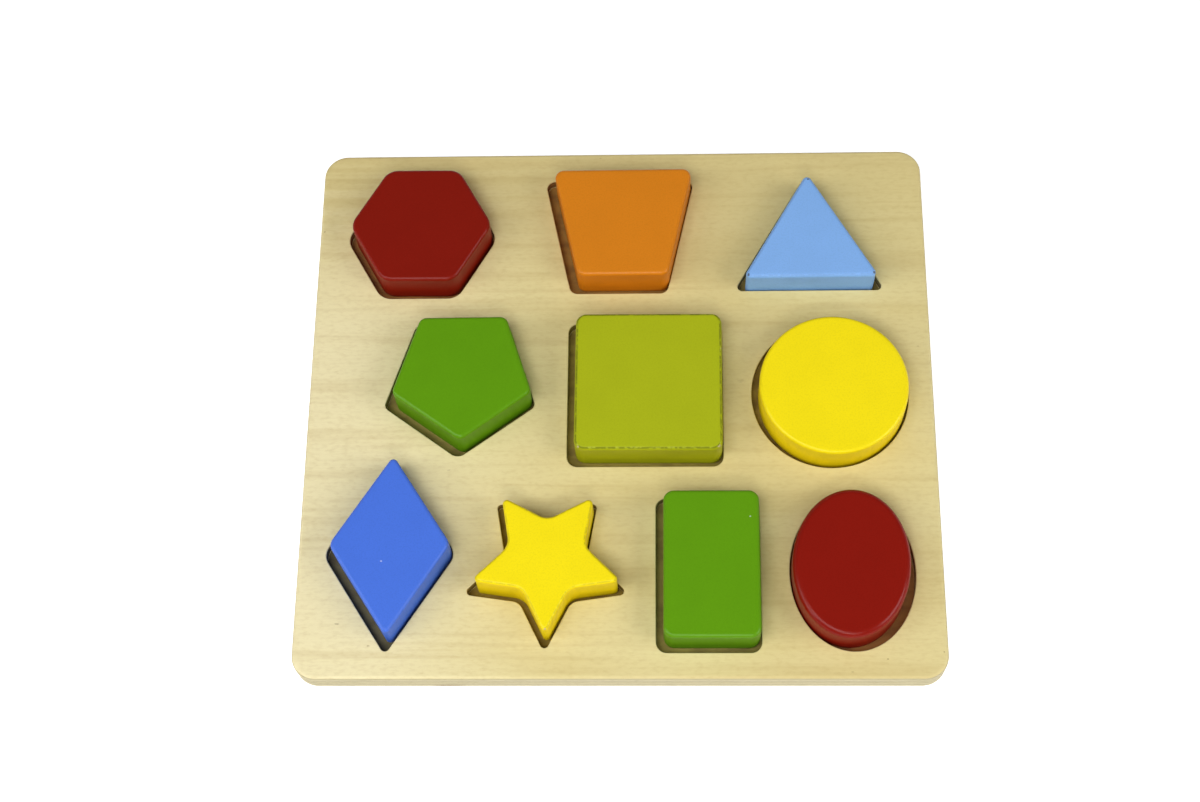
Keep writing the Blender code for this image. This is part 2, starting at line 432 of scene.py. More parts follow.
@dataclass(frozen=True)
class PlyEdge:
    """Sawn and sanded edge of birch plywood.

    The eye sees thin layers one above the other, end grain a little greyer and darker than long
    grain, with a dry, dull surface, and one brown gap where a splinter has come off low on the edge.
    """

    long_grain: str = "DCD3AF"
    end_grain: str = "C4B892"
    veneer_mm: float = 1.5
    pore: str = "9C8A64"
    # Set for a recess wall: its block's paint colour, partly rubbed-off paint and partly painted shade and
    # light bounced off the block
    paint: Paint | None = None
    paint_rub_and_bounce: float = 0.0
    splinter: str = "8A6B35"
    splinter_place: tuple[float, float, float] = (-0.0781, -0.1357, 0.0030)
    splinter_size: tuple[float, float, float] = (0.0074, 0.0020, 0.0006)
    # Real fibres are thinner than 0.1 mm, too fine to show, so these are drawn 0.35 mm thick
    fibre_mm: tuple[float, float, float] = (2.2, 2.2, 0.35)
    wander_mm: tuple[float, float, float] = (30.0, 30.0, 6.0)
    wander_strength: float = 0.16
    pore_strength: float = 0.45
    roughness: float = 0.68
    relief_mm: float = 0.05
    specular: float = 0.25
    ior: float = 1.45

    def build(self, name: str) -> bpy.types.Material:
        """Build the material, with its layers stacked along Z.

        Args:
            name: Name of the material.

        Returns:
            The material.
        """
        material = blank_material(name)
        tree = material.node_tree
        place = add_node(tree, "ShaderNodeTexCoord").outputs["Object"]
        height = add_node(tree, "ShaderNodeSeparateXYZ", {0: place}).outputs["Z"]
        wander = stretched_noise(tree, place, self.wander_mm, detail=2.0, seed=2.2)
        layers = arithmetic(tree, "DIVIDE", height, 2 * self.veneer_mm * MM)
        level = arithmetic(tree, "ADD", layers, arithmetic(tree, "MULTIPLY", wander, self.wander_strength))
        phase = arithmetic(tree, "PINGPONG", level, 0.5)
        layer = ramp(tree, phase, 0.22, 0.28)
        fibres = stretched_noise(tree, place, self.fibre_mm, detail=2.0, seed=9.1)
        colour = blend_colour(tree, layer, linear(self.long_grain), linear(self.end_grain))
        pores = ramp(tree, fibres, 0.5, 0.8, 0.0, self.pore_strength)
        colour = blend_colour(tree, pores, colour, linear(self.pore))
        if self.paint:
            # Multiplies in the block's colour: partly rubbed-off paint, partly painted shade and light
            # bounced off the block
            colour = blend_colour(tree, self.paint_rub_and_bounce, colour, rub_and_bounce_tint(self.paint), "MULTIPLY")
        else:
            mask = self.splinter_mask(tree, place, fibres)
            colour = blend_colour(tree, mask, colour, linear(self.splinter))
        surface(material, colour, self.roughness, fibres, self.relief_mm, self.specular, self.ior)
        return material

    def splinter_mask(
        self, tree: bpy.types.NodeTree, place: bpy.types.NodeSocket, fibres: bpy.types.NodeSocket
    ) -> bpy.types.NodeSocket:
        """Where the splinter is missing, with a ragged border.

        Args:
            tree: Node tree that the nodes go in.
            place: Position in metres.
            fibres: Noise that makes the border uneven.

        Returns:
            1 in the gap, 0 elsewhere.
        """
        from_middle = add_node(
            tree, "ShaderNodeVectorMath", {0: place, 1: self.splinter_place}, operation="SUBTRACT"
        ).outputs[0]
        in_sizes = add_node(
            tree, "ShaderNodeVectorMath", {0: from_middle, 1: self.splinter_size}, operation="DIVIDE"
        ).outputs[0]
        far = add_node(tree, "ShaderNodeVectorMath", {0: in_sizes}, operation="LENGTH").outputs["Value"]
        return ramp(tree, arithmetic(tree, "ADD", far, fibres), 1.6, 1.2)


@dataclass(frozen=True)
class RecessFloor:
    """Unvarnished plywood at the bottom of a recess.

    The eye sees the same wood, dull with dust, made darker and browner by painted shade in the
    recess, and tinted by its block's paint.
    """

    paint: Paint
    paint_rub_and_bounce: float
    # Both colours are much darker than the face veneer: painted shade in the recess, together with dust
    wood: str = "9F8B4E"
    dust_and_shade: str = "857142"
    streak_mm: tuple[float, float, float] = (9.0, 1.4, 9.0)
    streak_strength: float = 0.3
    dust_and_shade_mm: tuple[float, float, float] = (12.0, 6.0, 12.0)
    roughness: float = 0.8
    relief_mm: float = 0.04
    specular: float = 0.2
    ior: float = 1.45

    def build(self, name: str) -> bpy.types.Material:
        """Build the material, with the grain along X.

        Args:
            name: Name of the material.

        Returns:
            The material.
        """
        material = blank_material(name)
        tree = material.node_tree
        place = add_node(tree, "ShaderNodeTexCoord").outputs["Object"]
        streaks = stretched_noise(tree, place, self.streak_mm, detail=3.0, seed=4.4)
        dust_and_shade = stretched_noise(tree, place, self.dust_and_shade_mm, detail=3.0, seed=8.2)
        colour = blend_colour(tree, ramp(tree, dust_and_shade, 0.4, 0.7), linear(self.wood), linear(self.dust_and_shade))
        grain = ramp(tree, streaks, 0.5, 0.8, 0.0, self.streak_strength)
        colour = blend_colour(tree, grain, colour, linear(self.dust_and_shade))
        # Multiplies in the block's colour: partly rubbed-off paint, partly painted shade and light bounced
        # off the block
        colour = blend_colour(tree, self.paint_rub_and_bounce, colour, rub_and_bounce_tint(self.paint), "MULTIPLY")
        surface(material, colour, self.roughness, streaks, self.relief_mm, self.specular, self.ior)
        return material


@dataclass(frozen=True)
class Chip:
    """Small damage to the paint: where it is, its reach in metres, how far it shows, and its colour.

    drop is how far under the block's top it lies.
    """

    x: float
    y: float
    reach: float
    depth: float = 1.0
    tone: str = "C4B48C"
    drop: float = 0.0006

    def placed(self, turn: float, move_x: float, move_y: float) -> "Chip":
        """The chip turned about the origin by turn in radians, then moved."""
        cos, sin = math.cos(turn), math.sin(turn)
        return replace(
            self, x=self.x * cos - self.y * sin + move_x, y=self.x * sin + self.y * cos + move_y
        )


@dataclass(frozen=True)
class BlockEnamel:
    """Water-based enamel rolled on sanded hardwood, two coats.

    The eye sees an even colour with a satin gloss, a fine orange peel, the grain's faint ridges
    under it, duller sides where end grain drank the paint, sides made warmer by painted light
    bounced off the board, and bare wood at knocked corners.
    """

    paint: Paint
    # Shares of the paint's colour that its darker patches and the dirt on its arris keep
    dark_share: float = 0.80
    grime_share: float = 0.26
    peel_mm: float = 0.8
    peel_strength: float = 0.36
    # Real pore lines are less than 0.5 mm apart, too fine to show, so these are drawn 1.1 mm apart
    grain_mm: tuple[float, float, float] = (14.0, 1.1, 9.0)
    fibre_strength: tuple[float, float] = (0.1, 0.6)
    # Height of the grain's ridges in the relief, as a share of the orange peel's
    grain_relief: float = 0.8
    cloud_mm: float = 16.0
    cloud_strength: float = 0.14
    scuff_mm: float = 1.8
    ragged_mm: float = 0.7
    roughness: float = 0.22
    side_roughness: float = 0.44
    relief_mm: float = 0.022
    specular: float = 0.16
    ior: float = 1.5
    # Painted warm light bounced off the board, multiplied into the sides
    side_painted_warmth: str = "FFF7B4"
    worn: float = 0.0
    top_level: float = 0.0
    chips: tuple[Chip, ...] = ()

    def build(self, name: str) -> bpy.types.Material:
        """Build the material for one block.

        Args:
            name: Name of the material.

        Returns:
            The material.
        """
        material = blank_material(name)
        tree = material.node_tree
        coordinates = add_node(tree, "ShaderNodeTexCoord")
        place = coordinates.outputs["Object"]
        facing = add_node(tree, "ShaderNodeSeparateXYZ", {0: coordinates.outputs["Normal"]}).outputs["Z"]
        top = ramp(tree, facing, 0.3, 0.9)
        peel = stretched_noise(tree, place, (self.peel_mm,) * 3, detail=2.0, seed=1.7)
        grain = stretched_noise(tree, place, self.grain_mm, detail=3.0, seed=6.3)
        cloud = stretched_noise(tree, place, (self.cloud_mm,) * 3, detail=3.0, seed=2.9)

        base = linear(self.paint.value)
        dark = shaded(base, self.dark_share)
        clouds = ramp(tree, cloud, 0.35, 0.7, 0.0, self.cloud_strength)
        colour = blend_colour(tree, clouds, base, dark)
        dimples = ramp(tree, peel, 0.42, 0.72, 0.0, self.peel_strength)
        colour = blend_colour(tree, dimples, colour, dark)
        side = arithmetic(tree, "SUBTRACT", 1.0, top)
        fibres = arithmetic(tree, "MULTIPLY", side, ramp(tree, grain, 0.4, 0.75, *self.fibre_strength))
        colour = blend_colour(tree, fibres, colour, dark)
        # Painted light: the sides take a warm tint that stands for light bounced off the board
        colour = blend_colour(tree, side, colour, linear(self.side_painted_warmth), "MULTIPLY")
        if self.worn:
            scuffs = self.scuffs(tree, place, facing)
            colour = blend_colour(tree, scuffs, colour, shaded(base, self.grime_share))
        if self.chips:
            ragged = stretched_noise(tree, place, (self.ragged_mm,) * 3, detail=3.0, seed=12.4)
            for chip in self.chips:
                bare = self.chip_mask(tree, place, ragged, chip)
                colour = blend_colour(tree, bare, colour, linear(chip.tone))

        relief = arithmetic(tree, "ADD", peel, arithmetic(tree, "MULTIPLY", grain, self.grain_relief))
        roughness = ramp(tree, facing, 0.1, 0.5, self.side_roughness, self.roughness)
        if self.worn:
            roughness = arithmetic(tree, "ADD", roughness, scuffs)
        surface(material, colour, roughness, relief, self.relief_mm, self.specular, self.ior)
        return material

    def scuffs(
        self, tree: bpy.types.NodeTree, place: bpy.types.NodeSocket, facing: bpy.types.NodeSocket
    ) -> bpy.types.NodeSocket:
        """Broken line of dirt along the upper arris.

        Args:
            tree: Node tree that the nodes go in.
            place: Position in metres.
            facing: How far the surface looks up, from -1 to 1.

        Returns:
            worn where the dirt is thickest, 0 on the flat faces.
        """
        arris = arithmetic(
            tree, "MULTIPLY", ramp(tree, facing, 0.55, 0.75), ramp(tree, facing, 0.99, 0.9)
        )
        patchy = stretched_noise(tree, place, (self.scuff_mm,) * 3, detail=3.0, seed=15.7)
        broken = ramp(tree, patchy, 0.36, 0.52)
        return arithmetic(tree, "MULTIPLY", arithmetic(tree, "MULTIPLY", arris, broken), self.worn)

    def chip_mask(
        self,
        tree: bpy.types.NodeTree,
        place: bpy.types.NodeSocket,
        ragged: bpy.types.NodeSocket,
        chip: Chip,
    ) -> bpy.types.NodeSocket:
        """Where one chip shows.

        Args:
            tree: Node tree that the nodes go in.
            place: Position in metres.
            ragged: Noise that makes the border uneven.
            chip: The chip.

        Returns:
            The chip's depth where the paint is gone, 0 where it is whole.
        """
        middle = (chip.x, chip.y, self.top_level - chip.drop)
        far = add_node(
            tree, "ShaderNodeVectorMath", {0: place, 1: middle}, operation="DISTANCE"
        ).outputs["Value"]
        near = arithmetic(tree, "SUBTRACT", 1.0, arithmetic(tree, "DIVIDE", far, chip.reach))
        return ramp(tree, arithmetic(tree, "ADD", near, ragged), 0.62, 0.8, 0.0, chip.depth)


@dataclass(frozen=True)
class StudioPaper:
    """Matt white background paper, lifted to white where the camera or a mirror sees it."""

    tone: str = "F4F4F4"
    lift: float = 0.6
    mirrored_lift: float = 0.22

    def build(self, name: str) -> bpy.types.Material:
        """Build the material for the floor and the wall round it.

        Args:
            name: Name of the material.

        Returns:
            The material.
        """
        material = blank_material(name)
        tree = material.node_tree
        paper = add_node(tree, "ShaderNodeBsdfDiffuse", {"Color": linear(self.tone)})
        path = add_node(tree, "ShaderNodeLightPath")
        seen = arithmetic(tree, "MULTIPLY", path.outputs["Is Camera Ray"], self.lift)
        mirrored = arithmetic(tree, "MULTIPLY", path.outputs["Is Glossy Ray"], self.mirrored_lift)
        glow = add_node(
            tree, "ShaderNodeEmission", {"Strength": arithmetic(tree, "ADD", seen, mirrored)}
        )
        both = add_node(tree, "ShaderNodeAddShader", {0: paper.outputs[0], 1: glow.outputs[0]})
        add_node(tree, "ShaderNodeOutputMaterial", {"Surface": both.outputs[0]})
        return material


def regular_corners(sides: int, radius: float, first_degrees: float) -> Corners:
    """Corners of a regular polygon, anticlockwise from the first angle."""
    turns = [math.radians(first_degrees) + math.tau * i / sides for i in range(sides)]
    return [(radius * math.cos(turn), radius * math.sin(turn)) for turn in turns]


def direction(start: tuple[float, float], end: tuple[float, float]) -> tuple[float, float]:
    """Unit vector from start to end."""
    length = math.dist(start, end)
    return (end[0] - start[0]) / length, (end[1] - start[1]) / length


def offset_corners(corners: Corners, distance: float) -> Corners:
    """Corners of the outline whose sides lie distance outside those of an anticlockwise one.

    Args:
        corners: Sharp corners of the outline.
        distance: How far each side moves outwards.

    Returns:
        The moved corners, in the same order.
    """
    moved = []
    for i, corner in enumerate(corners):
        before = direction(corners[i - 1], corner)
        after = direction(corner, corners[(i + 1) % len(corners)])
        turn = before[0] * after[1] - before[1] * after[0]
        x = corner[0] - distance * (after[0] - before[0]) / turn
        y = corner[1] - distance * (after[1] - before[1]) / turn
        moved.append((x, y))
    return moved


def rounded_outline(corners: Corners, radii: tuple[float, ...]) -> Outline:
    """Fine outline with an arc at each corner and notch.

    A point is added close to each end of an arc, so that smooth shading stays flat on the sides.

    Args:
        corners: Sharp corners, anticlockwise.
        radii: Radii of the corners and notches, taken in turn.

    Returns:
        Points with their outward directions.
    """
    outline = []
    for i, corner in enumerate(corners):
        before = direction(corners[i - 1], corner)
        after = direction(corner, corners[(i + 1) % len(corners)])
        cross = before[0] * after[1] - before[1] * after[0]
        turn = math.atan2(cross, before[0] * after[0] + before[1] * after[1])
        radius = math.copysign(radii[i % len(radii)], turn)
        run_in = radius * math.tan(turn / 2)
        centre_x = corner[0] - before[0] * run_in - before[1] * radius
        centre_y = corner[1] - before[1] * run_in + before[0] * radius
        steps = math.ceil(abs(turn) / ARC_STEP)
        arc = []
        for step in range(steps + 1):
            angle = math.atan2(-before[0], before[1]) + turn * step / steps
            out_x, out_y = math.cos(angle), math.sin(angle)
            arc.append(RimPoint(centre_x + radius * out_x, centre_y + radius * out_y, out_x, out_y))
        first, last = arc[0], arc[-1]
        outline.append(
            RimPoint(first.x - before[0] * EASE, first.y - before[1] * EASE, first.out_x, first.out_y)
        )
        outline.extend(arc)
        outline.append(
            RimPoint(last.x + after[0] * EASE, last.y + after[1] * EASE, last.out_x, last.out_y)
        )
    return outline


def elliptic_outline(half_width: float, half_depth: float) -> Outline:
    """Fine ellipse about the origin.

    Args:
        half_width: Half of its size along X.
        half_depth: Half of its size along Y.

    Returns:
        Points with their outward directions.
    """
    outline = []
    for i in range(ROUND_POINTS):
        turn = math.tau * i / ROUND_POINTS
        x, y = half_width * math.cos(turn), half_depth * math.sin(turn)
        out = Vector((x / half_width**2, y / half_depth**2)).normalized()
        outline.append(RimPoint(x, y, out.x, out.y))
    return outline


def rounded_profile(bottom: float, top: float, low_arris: float, high_arris: float) -> Section:
    """Section of a plate's side from its lower face to its upper one.

    Args:
        bottom: Height of the lower face.
        top: Height of the upper face.
        low_arris: Radius of the lower edge.
        high_arris: Radius of the upper edge.

    Returns:
        Pairs of distance inside the outline and height, with one point on each face.
    """
    section = [(low_arris + EASE, bottom)]
    for step in range(ARRIS_STEPS + 1):
        angle = math.pi / 2 * step / ARRIS_STEPS
        section.append((low_arris * (1 - math.sin(angle)), bottom + low_arris * (1 - math.cos(angle))))
    section.append((0.0, bottom + low_arris + EASE))
    section.append((0.0, top - high_arris - EASE))
    for step in range(ARRIS_STEPS + 1):
        angle = math.pi / 2 * step / ARRIS_STEPS
        section.append((high_arris * (1 - math.cos(angle)), top - high_arris * (1 - math.sin(angle))))
    section.append((high_arris + EASE, top))
    return section


def side_wall(
    solid: bmesh.types.BMesh,
    outline: Outline,
    section: Section,
    hole: bool = False,
    material_number: int = 0,
) -> list[list[bmesh.types.BMVert]]:
    """Sweep a section round an outline.

    Args:
        solid: Mesh that the wall is added to.
        outline: Points with their outward directions.
        section: Pairs of distance into the wood and height.
        hole: True if the wood lies outside the outline.
        material_number: Place of the wall's material in the object's list.

    Returns:
        The rings of points, lowest first.
    """
    sign = 1.0 if hole else -1.0
    rings = []
    for inset, height in section:
        rings.append([solid.verts.new((*point.grown(sign * inset), height)) for point in outline])
    for low, high in zip(rings, rings[1:]):
        for i in range(len(outline)):
            quad = [low[i - 1], low[i], high[i], high[i - 1]]
            face = solid.faces.new(quad[::-1] if hole else quad)
            face.material_index = material_number
    return rings


def flat_ring(solid: bmesh.types.BMesh, outline: Outline, level: float) -> list[bmesh.types.BMVert]:
    """Closed ring of edges along an outline at one height.

    Args:
        solid: Mesh that the ring is added to.
        outline: Points of the ring.
        level: Height of the ring.

    Returns:
        The ring's points.
    """
    ring = [solid.verts.new((point.x, point.y, level)) for point in outline]
    for i in range(len(ring)):
        solid.edges.new((ring[i - 1], ring[i]))
    return ring


def close_face(
    solid: bmesh.types.BMesh, rims: list[list[bmesh.types.BMVert]], material_number: int = 0
) -> None:
    """Fill the flat face between an outer ring of points and the rings of its holes.

    Args:
        solid: Mesh that holds the rings.
        rims: The rings, all at one height.
        material_number: Place of the face's material in the object's list.
    """
    borders = []
    for ring in rims:
        borders.extend(solid.edges.get((ring[i - 1], ring[i])) for i in range(len(ring)))
    filled = bmesh.ops.triangle_fill(solid, use_beauty=True, use_dissolve=False, edges=borders)
    for item in filled["geom"]:
        if isinstance(item, bmesh.types.BMFace):
            item.material_index = material_number


def finished_object(name: str, solid: bmesh.types.BMesh) -> bpy.types.Object:
    """Turn a bmesh into a smooth-shaded object in the scene.

    Args:
        name: Name of the object and its mesh.
        solid: The mesh, which is freed.

    Returns:
        The new object.
    """
    bmesh.ops.recalc_face_normals(solid, faces=solid.faces)
    mesh = bpy.data.meshes.new(name)
    solid.to_mesh(mesh)
    solid.free()
    for polygon in mesh.polygons:
        polygon.use_smooth = True
    piece = bpy.data.objects.new(name, mesh)
    bpy.context.scene.collection.objects.link(piece)
    return piece


@dataclass(frozen=True)
class Shape:
    """Outline of a block and of its recess: sharp sizes in metres, without their roundings."""

    form: Form
    width: float
    depth: float = 0.0
    narrow_width: float = 0.0
    inner_radius: float = 0.0
    sides: int = 0
    first_degrees: float = -90.0
    radii: tuple[float, ...] = ()
    recess_radii: tuple[float, ...] = ()
    clearance: float = 0.0022

    def corners(self) -> Corners:
        """Sharp corners of the block's outline; width is the radius of a polygon or a star.

        Returns:
            The corners, anticlockwise.
        """
        if self.form is Form.POLYGON:
            return regular_corners(self.sides, self.width, self.first_degrees)
        if self.form is Form.STAR:
            tips = regular_corners(self.sides, self.width, self.first_degrees)
            notches = regular_corners(self.sides, self.inner_radius, self.first_degrees + 180 / self.sides)
            return [corner for pair in zip(tips, notches) for corner in pair]
        if self.form is Form.RHOMBUS:
            half_width, half_depth = self.width / 2, self.depth / 2
            return [(0.0, -half_depth), (half_width, 0.0), (0.0, half_depth), (-half_width, 0.0)]
        front = (self.narrow_width or self.width) / 2
        back, half = self.width / 2, self.depth / 2
        return [(-front, -half), (front, -half), (back, half), (-back, half)]

    def block_outline(self) -> Outline:
        """Outline of the block about its own middle.

        Returns:
            Points with their outward directions.
        """
        if self.form is Form.ELLIPSE:
            return elliptic_outline(self.width / 2, self.depth / 2)
        return rounded_outline(self.corners(), self.radii)

    def recess_outline(self) -> Outline:
        """Outline of the recess about its own middle, one clearance wider all round.

        Returns:
            Points with their outward directions.
        """
        if self.form is Form.ELLIPSE:
            return elliptic_outline(self.width / 2 + self.clearance, self.depth / 2 + self.clearance)
        corners = offset_corners(self.corners(), self.clearance)
        return rounded_outline(corners, self.recess_radii or self.radii)


@dataclass
class ShapeBlock:
    """One loose painted block.

    The block's place comes from its CAD node. seat is how it lies off the middle of its recess:
    right and back in metres, turn in degrees.
    """

    body: str
    shape: Shape
    enamel: Paint
    seat: tuple[float, float, float]
    slot: str
    chips: tuple[Chip, ...] = ()
    # How strongly the block's colour is multiplied into its recess: partly rubbed-off paint, partly
    # painted shade and bounce light
    paint_rub_and_bounce: float = 0.45
    worn: float = 0.0
    # Painted warm light bounced off the board onto the block's sides
    side_painted_warmth: str = "FFF7B4"
    arris: float = 0.0018
    foot_arris: float = 0.0012

    def node(self) -> str:
        """Name of the block's CAD node."""
        return f"{self.body}_block"

    def middle(self) -> tuple[float, float]:
        """Where the block's own middle lies on the board.

        Returns:
            X and Y in metres.
        """
        turn = math.radians(self.seat[2])
        points = [point.placed(turn, 0.0, 0.0) for point in self.shape.block_outline()]
        low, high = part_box(self.node())
        x = (low.x + high.x - min(p.x for p in points) - max(p.x for p in points)) / 2
        y = (low.y + high.y - min(p.y for p in points) - max(p.y for p in points)) / 2
        return x, y

    def recess(self) -> Outline:
        """Outline of the recess where it is cut in the board."""
        x, y = self.middle()
        return [
            point.placed(0.0, x - self.seat[0], y - self.seat[1]) for point in self.shape.recess_outline()
        ]

    def build(self) -> bpy.types.Object:
        """Build the block where its CAD node is and dress it.

        Returns:
            The painted block.
        """
        low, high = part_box(self.node())
        x, y = self.middle()
        turn = math.radians(self.seat[2])
        outline = [point.placed(turn, x, y) for point in self.shape.block_outline()]
        solid = bmesh.new()
        rings = side_wall(solid, outline, rounded_profile(low.z, high.z, self.foot_arris, self.arris))
        close_face(solid, [rings[0]])
        close_face(solid, [rings[-1]])
        piece = finished_object(f"{self.body}_painted", solid)

        chips = tuple(chip.placed(turn, x, y) for chip in self.chips)
        enamel = BlockEnamel(
            self.enamel, side_painted_warmth=self.side_painted_warmth, worn=self.worn, top_level=high.z, chips=chips
        )
        piece.data.materials.append(enamel.build(f"enamel_{self.body}"))
        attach(piece, self.body)
        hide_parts(self.node())
        return piece


@dataclass
class PuzzleBoard:
    """The board: a plate with cut-outs glued on a plain backing plate."""

    blocks: list[ShapeBlock]
    corner_radius: float = 0.0115
    arris: float = 0.0018
    recess_arris: float = 0.0005
    joint_arris: float = 0.00025
    # How far the veneer's look reaches down the arris, as a share of its radius
    veneer_share: float = 0.45
    # A face of the base plate whose normal's Z is below this is dressed as an edge
    edge_normal: float = 0.9
    # Plies of the recess walls, drawn darker than the outer edge as painted shade
    shaded_wall_long_grain: str = "978350"
    shaded_wall_end_grain: str = "7E6C42"
    flecks: tuple[Fleck, ...] = (
        Fleck(-0.1296, -0.1097, 0.0028, 0.0009, 0.45),
        Fleck(-0.1147, -0.1201, 0.0016, 0.0008, 0.6),
        Fleck(0.1222, -0.1264, 0.0011, 0.0008, 0.7),
        Fleck(0.1478, -0.1232, 0.0010, 0.0009, 0.7),
        Fleck(0.1062, -0.1324, 0.0016, 0.0007, 0.4),
        Fleck(0.1438, 0.0282, 0.0020, 0.0006, 0.4),
        Fleck(0.0583, 0.0105, 0.0050, 0.0022, 0.15),
        Fleck(-0.1480, 0.0927, 0.0012, 0.0009, 0.5),
        Fleck(-0.0103, 0.1330, 0.0014, 0.0007, 0.4),
        Fleck(-0.0807, -0.0344, 0.0024, 0.0007, 0.35),
    )

    def edge(self) -> Outline:
        """Outline of the board.

        Returns:
            Points with their outward directions.
        """
        low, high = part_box("frame_plate")
        corners = [(low.x, low.y), (high.x, low.y), (high.x, high.y), (low.x, high.y)]
        return rounded_outline(corners, (self.corner_radius,))

    def build_frame_plate(self) -> bpy.types.Object:
        """Upper plate with its ten cut-outs, faces in veneer and edges in plies.

        Returns:
            The dressed plate.
        """
        low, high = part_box("frame_plate")
        solid = bmesh.new()
        section = rounded_profile(low.z, high.z, self.joint_arris, self.arris)
        outer = side_wall(solid, self.edge(), section, material_number=1)
        lower_rims, upper_rims = [outer[0]], [outer[-1]]
        veneer = BirchFace(flecks=self.flecks).build("birch_face_veneer")
        materials = [veneer, PlyEdge().build("plywood_edge")]
        section = rounded_profile(low.z, high.z, self.joint_arris, self.recess_arris)
        for block in self.blocks:
            rings = side_wall(solid, block.recess(), section, hole=True, material_number=len(materials))
            lower_rims.append(rings[0])
            upper_rims.append(rings[-1])
            # Recess wall: darker plies as painted shade, with its block's paint colour multiplied in
            wall = PlyEdge(
                self.shaded_wall_long_grain, self.shaded_wall_end_grain, paint=block.enamel, paint_rub_and_bounce=block.paint_rub_and_bounce
            )
            materials.append(wall.build(f"recess_wall_{block.body}"))
        close_face(solid, lower_rims)
        close_face(solid, upper_rims)
        plate = finished_object("frame_veneered", solid)
        for material in materials:
            plate.data.materials.append(material)
        veneer_level = high.z - self.arris * self.veneer_share
        for polygon in plate.data.polygons:
            if polygon.center.z > veneer_level:
                polygon.material_index = 0
        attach(plate, "board")
        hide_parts("frame_plate")
        return plate

    def build_base_plate(self) -> bpy.types.Object:
        """Plain lower plate: dusty and darkened by painted shade where the recesses show it, rounded under
        its edge.

        Returns:
            The dressed plate.
        """
        low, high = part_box("base_plate")
        solid = bmesh.new()
        section = rounded_profile(low.z, high.z, self.arris, self.joint_arris)
        rings = side_wall(solid, self.edge(), section)
        close_face(solid, [rings[0]])
        floors = [flat_ring(solid, block.recess(), high.z) for block in self.blocks]
        close_face(solid, [rings[-1], *floors])
        materials = [BirchFace().build("birch_back_veneer"), PlyEdge().build("plywood_back_edge")]
        for floor, block in zip(floors, self.blocks):
            close_face(solid, [floor], len(materials))
            wood = RecessFloor(block.enamel, block.paint_rub_and_bounce)
            materials.append(wood.build(f"recess_floor_{block.body}"))
        plate = finished_object("base_veneered", solid)
        for material in materials:
            plate.data.materials.append(material)
        for polygon in plate.data.polygons:
            if abs(polygon.normal.z) < self.edge_normal:
                polygon.material_index = 1
        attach(plate, "board")
        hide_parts("base_plate")
        return plate

    def build(self) -> list[bpy.types.Object]:
        """Build both plates."""
        return [self.build_frame_plate(), self.build_base_plate()]


@dataclass(frozen=True)
class SoftBox:
    """Rectangular soft box that points at the board: its place and size in metres, power in watts."""

    name: str
    place: tuple[float, float, float]
    width: float
    height: float
    power: float

    def build(self) -> None:
        """Hang the lamp."""
        lamp = bpy.data.lights.new(self.name, "AREA")
        lamp.shape = "RECTANGLE"
        lamp.size = self.width
        lamp.size_y = self.height
        lamp.energy = self.power
        box = bpy.data.objects.new(self.name, lamp)
        box.location = self.place
        box.rotation_euler = (-Vector(self.place)).to_track_quat("-Z", "Y").to_euler()
        bpy.context.scene.collection.objects.link(box)


